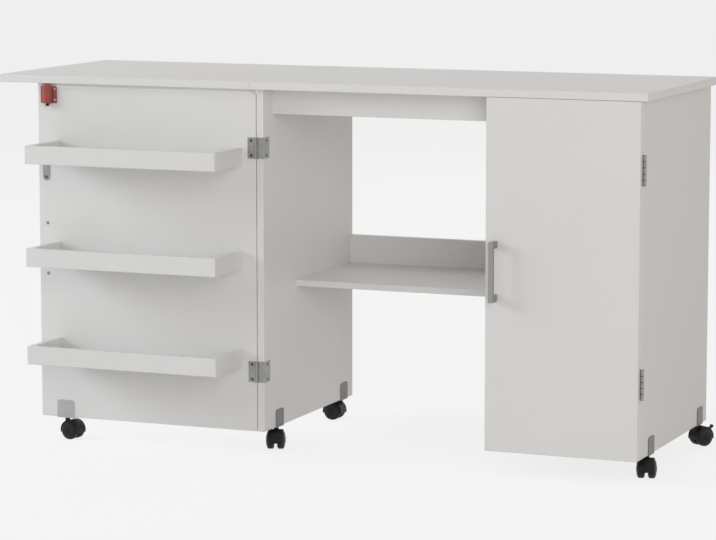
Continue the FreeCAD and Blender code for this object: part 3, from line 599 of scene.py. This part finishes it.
# Strength and depth in metres of each finish's bump
BOARD_BUMP, PLATE_BUMP, SATIN_BUMP = (0.05, 0.0002), (0.06, 0.0002), (0.08, 0.0002)
MOULD_BUMP, WHEEL_BUMP, BUTTON_BUMP = (0.10, 0.0003), (0.08, 0.0003), (0.05, 0.0002)
CATCH_BUMP, WHITE_SCREW_BUMP = (0.08, 0.0002), (0.04, 0.0002)
# Stretch of the drawing lines and roughness of each metal
PLATE_DRAW = {"Stretch": (420.0, 420.0, 60.0), "Rough": 0.42}
SATIN_DRAW = {"Stretch": (2600.0, 2600.0, 40.0), "Rough": 0.34}
STEEL_SCREW_DRAW = {"Stretch": (700.0, 700.0, 700.0), "Rough": 0.35}
WHITE_SCREW_DRAW = {"Stretch": (700.0, 700.0, 700.0), "Rough": 0.32}
PLATE_METALLIC = 0.75
# Shades of the zinc's colours for the painted shade in a knuckle's gap and for the steel screws, which are
# darkened partly as painted shade of their recesses
KNUCKLE_PAINTED_SHADE, SCREW_LIGHT_SHADE, SCREW_DARK_SHADE = 0.2, 0.34, 0.24
# What a wheel's tread gains in dust and loses in gloss, and how deep its ring is moulded
TREAD_DUST, TREAD_DULL, RING_DEPTH = 0.55, 0.25, 3.0


# Operators


class TABLE_OT_boards(bpy.types.Operator):
    """Dress every board in melamine with banded edges"""

    bl_idname = "table.boards"
    bl_label = "Boards"

    def execute(self, context):
        finish = context.scene.table_boards
        for node in BOARD_NODES:
            low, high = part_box(node)
            size = high - low
            thin = 0 if node.endswith("_ends") else min(range(3), key=lambda axis: size[axis])
            skip = [1.0 if axis == thin else 0.0 for axis in range(3)]
            # Boards of the compartment get the darker inside colour, which is painted shade.
            face = finish.inner if node.startswith("compartment") else finish.face
            values = {"Face": face, "Edge": finish.edge, "Low": low, "High": high, "Skip": skip}
            wear(NODES[node], surface(f"melamine_{node}", "melamine", values, BOARD_BUMP))
        return {"FINISHED"}


class TABLE_OT_metal(bpy.types.Operator):
    """Plate the hinges, brackets and strike plates, and brush the handles"""

    bl_idname = "table.metal"
    bl_label = "Metal"

    def execute(self, context):
        finish = context.scene.table_metal
        plates = {
            "zinc_plate": (finish.zinc, finish.zinc_dark, PLATE_NODES),
            # The side brackets get a darker copy of the steel: painted shade.
            "bracket_steel": (finish.bracket, finish.shaded_bracket_streaks, PAINTED_SHADE_BRACKET_NODES),
            # The gate's bracket gets a lighter copy of the same steel: painted light.
            "pale_steel": (finish.pale, finish.lit_bracket_streaks, PAINTED_LIGHT_BRACKET_NODES),
        }
        for name, (light, dark, nodes) in plates.items():
            values = {"Light": light, "Dark": dark, **PLATE_DRAW}
            plated = surface(name, "metal", values, PLATE_BUMP, metallic=PLATE_METALLIC)
            for node in nodes:
                wear(NODES[node], plated)
        hinge = self.painted_knuckle_shade(finish, context.scene.table_fittings.door_knuckle)
        for node in DOOR_HINGE_NODES:
            wear(NODES[node], hinge)
        satin = {"Light": finish.satin, "Dark": finish.satin_dark, **SATIN_DRAW}
        brushed = surface("satin_handle", "metal", satin, SATIN_BUMP, metallic=0.85)
        for node in HANDLE_NODES:
            wear(NODES[node], brushed)
        return {"FINISHED"}

    def painted_knuckle_shade(self, finish, step):
        """Zinc plate with painted shade darkening the gaps where the knuckles of the door's hinges meet."""
        values = {"Light": finish.zinc, "Dark": finish.zinc_dark, **PLATE_DRAW}
        material = surface("door_hinge_zinc", "metal", values, PLATE_BUMP, metallic=PLATE_METALLIC)
        tree = material.node_tree
        shader = tree.nodes["Principled BSDF"]
        low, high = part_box("door_hinge_panel_leaves")
        knuckle_shade = add_group(tree, "knuckle", {"Low": low.z, "High": high.z, "Step": step})
        plain = shader.inputs["Base Color"].links[0].from_socket
        shade = (*darker(finish.zinc_dark, KNUCKLE_PAINTED_SHADE), 1.0)
        link(tree, mix_colour(tree, knuckle_shade.outputs["Seam"], plain, shade), shader.inputs["Base Color"])
        return material


class TABLE_OT_plastic(bpy.types.Operator):
    """Mould the casters, the latch and the door catch"""

    bl_idname = "table.plastic"
    bl_label = "Plastic"

    def execute(self, context):
        finish = context.scene.table_plastic
        black = {"Base": finish.black, "Scuff": finish.scuff, "Wear": 0.35, "Rough": 0.36}
        hood = surface("black_hood", "plastic", black, MOULD_BUMP, specular=0.22)
        for node in BLACK_NODES:
            wear(NODES[node], hood)
        for caster in CASTERS:
            wear(NODES[f"{caster}_caster_wheels"], self.wheel(context.scene, caster, black))
        latch = {"Base": finish.latch, "Scuff": darker(finish.latch, 0.6), "Wear": 0.6, "Rough": 0.32}
        wear(NODES["latch_housing"], surface("latch_red", "plastic", latch, MOULD_BUMP, coat=0.15))
        button = {"Base": finish.button, "Scuff": darker(finish.button, 0.75), "Wear": 0.4, "Rough": 0.24}
        wear(NODES["latch_button"], surface("button_red", "plastic", button, BUTTON_BUMP, coat=0.3))
        catch = {"Base": finish.catch, "Scuff": darker(finish.catch, 0.9), "Wear": 0.5, "Rough": 0.45}
        wear(NODES["door_catch"], surface("catch_white", "plastic", catch, CATCH_BUMP))
        return {"FINISHED"}

    def wheel(self, scene, caster, black):
        """Black plastic with a floor-worn tread and a moulded ring on each face."""
        joint = JOINTS[f"{caster}_roll"]
        values = {**black, "Rough": 0.34}
        material = surface(f"black_wheel_{caster}", "plastic", values, WHEEL_BUMP, specular=0.28)
        tree = material.node_tree
        shader = tree.nodes["Principled BSDF"]
        radius = scene.table_fittings.wheel_radius
        rings = add_group(tree, "wheel", {"Centre": joint["pos_m"], "Axle": joint["axis"], "Radius": radius})
        plain = shader.inputs["Base Color"].links[0].from_socket
        dust = scaled(tree, rings.outputs["Tread"], TREAD_DUST)
        scuff = (*scene.table_plastic.scuff, 1.0)
        link(tree, mix_colour(tree, dust, plain, scuff), shader.inputs["Base Color"])
        gloss = shader.inputs["Roughness"].links[0].from_socket
        worn = math_node(tree, "ADD", gloss, scaled(tree, rings.outputs["Tread"], TREAD_DULL))
        link(tree, worn, shader.inputs["Roughness"])
        relief = shader.inputs["Normal"].links[0].from_node
        grain = relief.inputs["Height"].links[0].from_socket
        groove = scaled(tree, rings.outputs["Ring"], RING_DEPTH)
        link(tree, math_node(tree, "SUBTRACT", grain, groove), relief.inputs["Height"])
        return material


class TABLE_OT_hinge_screws(bpy.types.Operator):
    """Screw the leaves of the gate's and the drop leaf's hinges"""

    bl_idname = "table.hinge_screws"
    bl_label = "Hinge Screws"

    def execute(self, context):
        sizes = context.scene.table_fittings
        screw = screw_pattern()
        self.gate(screw, sizes)
        self.leaf(screw, sizes)
        drop_pattern(screw)
        return {"FINISHED"}

    def gate(self, screw, sizes):
        """Two screws in each leaf on the gate's face, and two in each leaf wrapped onto the panel."""
        low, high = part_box("gate_hinge_gate_leaves")
        wrap_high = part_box("gate_hinge_panel_leaves")[1]
        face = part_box("gate_panel")[0].y
        plate = wrap_high.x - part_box("left_side_panel")[1].x
        knuckle = 2 * (face - JOINTS["gate_swing"]["pos_m"][1])
        column = (low.x + high.x - knuckle) / 2
        depth = (face + wrap_high.y) / 2
        rows = end_rows(low.z, high.z, sizes.gate_hinge_length, sizes.hinge_screw_inset)
        on_gate = [((column, face - plate, z), (0, -1, 0)) for z in rows]
        on_panel = [((wrap_high.x, depth, z), (1, 0, 0)) for z in rows]
        steel = bpy.data.materials["screw_steel"]
        radius = sizes.screw_radius
        set_out(screw, "gate_hinge_screws_gate", radius, on_gate, "gate", steel)
        set_out(screw, "gate_hinge_screws_panel", radius, on_panel, "cabinet", steel)

    def leaf(self, screw, sizes):
        """Two screws in each leaf under the drop leaf and two in each leaf down the panel's face."""
        low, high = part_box("leaf_hinge_leaf_leaves")
        drop_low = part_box("leaf_hinge_top_leaves")[0]
        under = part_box("leaf_top")[0].z
        length = sizes.leaf_hinge_length
        middle = (low.y + high.y) / 2
        rows = end_rows(low.y, high.y, length, sizes.hinge_screw_inset)
        rows += end_rows(middle - length / 2, middle + length / 2, length, sizes.hinge_screw_inset)[:2]
        knuckle = 2 * (under - JOINTS["leaf_fold"]["pos_m"][2])
        column = (low.x + high.x - knuckle) / 2
        thick = sizes.hinge_plate
        on_leaf = [((column, y, under - thick), (0, 0, -1)) for y in rows]
        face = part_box("left_side_panel")[0].x - thick
        level = drop_low.z + (under - knuckle - drop_low.z) / 2
        on_panel = [((face, y, level), (-1, 0, 0)) for y in rows]
        steel = bpy.data.materials["screw_steel"]
        radius = sizes.screw_radius
        set_out(screw, "leaf_hinge_screws_leaf", radius, on_leaf, "leaf", steel)
        set_out(screw, "leaf_hinge_screws_panel", radius, on_panel, "cabinet", steel)


class TABLE_OT_plate_screws(bpy.types.Operator):
    """Screw the strike plates, the latch, the catch and the gate's handle"""

    bl_idname = "table.plate_screws"
    bl_label = "Plate Screws"

    def execute(self, context):
        sizes = context.scene.table_fittings
        steel = bpy.data.materials["screw_steel"]
        screw = screw_pattern()
        for node, body, side in (("gate_strike_plate", "gate", -1), ("door_strike_plate", "door", 1)):
            low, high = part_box(node)
            face = low.y if side < 0 else high.y
            middle = (low.x + high.x) / 2
            inset = (high.x - low.x) / 2
            places = [((middle, face, z), (0, side, 0)) for z in (low.z + inset, high.z - inset)]
            set_out(screw, f"{node}_screws", sizes.screw_radius, places, body, steel)
        low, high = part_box("gate_handle")
        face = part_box("gate_panel")[0].y
        foot = sizes.handle_foot / 2
        places = [(((low.x + high.x) / 2, face, z), (0, -1, 0)) for z in (low.z + foot, high.z - foot)]
        zinc = bpy.data.materials["zinc_plate"]
        set_out(screw, "gate_handle_screws", sizes.handle_screw_radius, places, "gate", zinc)
        low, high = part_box("latch_housing")
        flange = face - sizes.latch_flange
        inset = sizes.latch_screw_inset
        places = [((high.x - inset, flange, z), (0, -1, 0)) for z in (low.z + 2 * inset, high.z - 3 * inset)]
        white = bpy.data.materials["screw_white"]
        set_out(screw, "latch_screws", sizes.latch_screw_radius, places, "gate", white)
        low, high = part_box("door_catch")
        depth = (low.y + high.y) / 2
        places = [((high.x, depth, z), (1, 0, 0)) for z in (low.z + 2 * inset, high.z - 2 * inset)]
        set_out(screw, "door_catch_screws", sizes.latch_screw_radius, places, "cabinet", steel)
        drop_pattern(screw)
        return {"FINISHED"}


class TABLE_OT_wheel_caps(bpy.types.Operator):
    """Cap the axle ends on the faces of the wheels"""

    bl_idname = "table.wheel_caps"
    bl_label = "Wheel Caps"

    def execute(self, context):
        cap = cap_pattern()
        sizes = context.scene.table_fittings
        material = bpy.data.materials["black_hood"]
        for caster in CASTERS:
            joint = JOINTS[f"{caster}_roll"]
            centre = Vector(joint["pos_m"])
            axle = Vector(joint["axis"]).normalized()
            half = max((v.co - centre).dot(axle) for v in NODES[f"{caster}_caster_wheels"].data.vertices)
            places = [(centre + axle * side * half, axle * side) for side in (1, -1)]
            body = f"{caster}_wheels"
            set_out(cap, f"{caster}_wheel_caps", sizes.cap_radius, places, body, material)
        drop_pattern(cap)
        return {"FINISHED"}


class TABLE_OT_gate_lip(bpy.types.Operator):
    """Close the corner over the gate's hinge end with a slim lip"""

    bl_idname = "table.gate_lip"
    bl_label = "Gate Lip"

    def execute(self, context):
        sizes = context.scene.table_fittings
        gate_low, gate_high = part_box("gate_panel")
        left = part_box("leaf_top")[1].x - sizes.lip_reach
        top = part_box("main_top")[0].z - sizes.lip_clear
        low = Vector((left, gate_low.y, gate_high.z - sizes.lip_foot))
        high = Vector((gate_high.x, gate_low.y + sizes.lip_thickness, top))
        deselect()
        bpy.ops.mesh.primitive_cube_add(size=1.0, location=(low + high) / 2, scale=high - low)
        lip = start("gate_corner_lip")
        pick(lip, "EDGE", lambda edge: all(v.co.z > (low.z + high.z) / 2 for v in edge.verts))
        bpy.ops.mesh.bevel(offset=sizes.lip_thickness / 4, segments=2)
        pick(lip, "FACE", lambda face: face.normal.y > FACING)
        bpy.ops.mesh.inset(thickness=sizes.lip_thickness / 2)
        bpy.ops.transform.translate(value=(0, -sizes.lip_thickness / 4, 0))
        close(lip)
        finish = context.scene.table_boards
        values = {"Face": finish.face, "Edge": finish.edge, "Low": low, "High": high, "Skip": (0.0, 1.0, 0.0)}
        wear(lip, surface("melamine_gate_lip", "melamine", values, BOARD_BUMP))
        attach(lip, "gate")
        return {"FINISHED"}


class TABLE_OT_screw_finish(bpy.types.Operator):
    """Make the finishes of the screws"""

    bl_idname = "table.screw_finish"
    bl_label = "Screw Finish"

    def execute(self, context):
        metal = context.scene.table_metal
        # The steel screws are the zinc's colours darkened: partly the steel's own tone, partly painted shade
        # of their cross recesses.
        light, dark = darker(metal.zinc, SCREW_LIGHT_SHADE), darker(metal.zinc_dark, SCREW_DARK_SHADE)
        steel = {"Light": light, "Dark": dark, **STEEL_SCREW_DRAW}
        surface("screw_steel", "metal", steel, PLATE_BUMP, metallic=0.9)
        white = {"Light": metal.white, "Dark": metal.white_dark, **WHITE_SCREW_DRAW}
        surface("screw_white", "metal", white, WHITE_SCREW_BUMP, metallic=0.4)
        return {"FINISHED"}


class TABLE_OT_stage(bpy.types.Operator):
    """Set the floor, the light and the camera"""

    bl_idname = "table.stage"
    bl_label = "Stage"

    def execute(self, context):
        studio = context.scene.table_studio
        context.scene.view_settings.view_transform = "Standard"
        self.floor(studio)
        self.world(context.scene, studio)
        for name in ("key", "fill", "back"):
            self.lamp(studio, name)
        self.camera(context.scene, studio)
        return {"FINISHED"}

    def whiten(self, tree, lit, white, share, output):
        """Shows a share of plain white to the camera, in reflections and through glass."""
        path = tree.nodes.new("ShaderNodeLightPath")
        seen = math_node(tree, "MAXIMUM", path.outputs["Is Camera Ray"], path.outputs["Is Glossy Ray"])
        seen = math_node(tree, "MAXIMUM", seen, path.outputs["Is Transmission Ray"])
        blend = tree.nodes.new("ShaderNodeMixShader")
        link(tree, scaled(tree, seen, share), blend.inputs[0])
        link(tree, lit.outputs[0], blend.inputs[1])
        link(tree, white.outputs[0], blend.inputs[2])
        link(tree, blend.outputs[0], tree.nodes[output].inputs["Surface"])

    def floor(self, studio):
        deselect()
        bpy.ops.mesh.primitive_plane_add(size=studio.floor_size, location=(0, 0, 0))
        floor = bpy.context.object
        floor.name = "studio_floor"
        material = bpy.data.materials.new("studio_floor")
        material.use_nodes = True
        tree = material.node_tree
        paint = tree.nodes["Principled BSDF"]
        paint.inputs["Base Color"].default_value = (*studio.floor, 1.0)
        paint.inputs["Roughness"].default_value = studio.floor_rough
        paint.inputs["Specular IOR Level"].default_value = studio.floor_gloss
        white = tree.nodes.new("ShaderNodeEmission")
        white.inputs["Strength"].default_value = studio.floor_glow
        self.whiten(tree, paint, white, studio.floor_white, "Material Output")
        wear(floor, material)

    def world(self, scene, studio):
        world = bpy.data.worlds.new("studio_sky")
        scene.world = world
        world.use_nodes = True
        tree = world.node_tree
        sky = tree.nodes["Background"]
        sky.inputs["Color"].default_value = (*studio.sky_colour, 1.0)
        sky.inputs["Strength"].default_value = studio.sky
        white = tree.nodes.new("ShaderNodeBackground")
        white.inputs["Color"].default_value = (1.0, 1.0, 1.0, 1.0)
        self.whiten(tree, sky, white, 1.0, "World Output")

    def lamp(self, studio, name):
        """A large soft disk lamp aimed at the table, kept out of reflections so the tops don't glare."""
        deselect()
        place = Vector(getattr(studio, f"{name}_place"))
        turn = (Vector(studio.aim) - place).to_track_quat("-Z", "Y").to_euler()
        bpy.ops.object.light_add(type="AREA", location=place, rotation=turn)
        lamp = bpy.context.object
        lamp.name = f"studio_{name}"
        lamp.data.shape = "DISK"
        lamp.data.size = getattr(studio, f"{name}_width")
        lamp.data.energy = getattr(studio, name)
        lamp.data.color = getattr(studio, f"{name}_colour")
        lamp.visible_glossy = False

    def camera(self, scene, studio):
        deselect()
        turn = (math.pi / 2 - studio.pitch, 0.0, studio.yaw)
        bpy.ops.object.camera_add(location=studio.eye, rotation=turn)
        camera = bpy.context.object
        camera.name = "studio_camera"
        camera.data.sensor_width = studio.sensor
        camera.data.lens = studio.lens
        camera.data.clip_end = studio.reach
        scene.camera = camera


class TABLE_PT_panel(bpy.types.Panel):
    """Finishes, fittings and stage of the sewing table"""

    bl_idname = "TABLE_PT_panel"
    bl_label = "Sewing Table"
    bl_space_type = "VIEW_3D"
    bl_region_type = "UI"
    bl_category = "Sewing Table"

    def draw(self, context):
        for name in PROPERTY_GROUPS:
            box = self.layout.box()
            settings = getattr(context.scene, name)
            for prop in settings.__annotations__:
                box.prop(settings, prop)
        for operator in OPERATORS:
            self.layout.operator(operator.bl_idname)


OPERATORS = (
    TABLE_OT_boards,
    TABLE_OT_metal,
    TABLE_OT_plastic,
    TABLE_OT_screw_finish,
    TABLE_OT_hinge_screws,
    TABLE_OT_plate_screws,
    TABLE_OT_wheel_caps,
    TABLE_OT_gate_lip,
    TABLE_OT_stage,
)


def register():
    for item in (*PROPERTY_GROUPS.values(), *OPERATORS, TABLE_PT_panel):
        bpy.utils.register_class(item)
    for name, group in PROPERTY_GROUPS.items():
        setattr(bpy.types.Scene, name, bpy.props.PointerProperty(type=group))


def unregister():
    for name in PROPERTY_GROUPS:
        delattr(bpy.types.Scene, name)
    for item in (TABLE_PT_panel, *reversed(OPERATORS), *PROPERTY_GROUPS.values()):
        bpy.utils.unregister_class(item)


def main():
    register()
    groups.update({name: maker() for name, maker in GROUP_MAKERS.items()})
    for operator in OPERATORS:
        getattr(bpy.ops.table, operator.bl_idname.split(".")[1])()


if __name__ == "__main__":
    main()
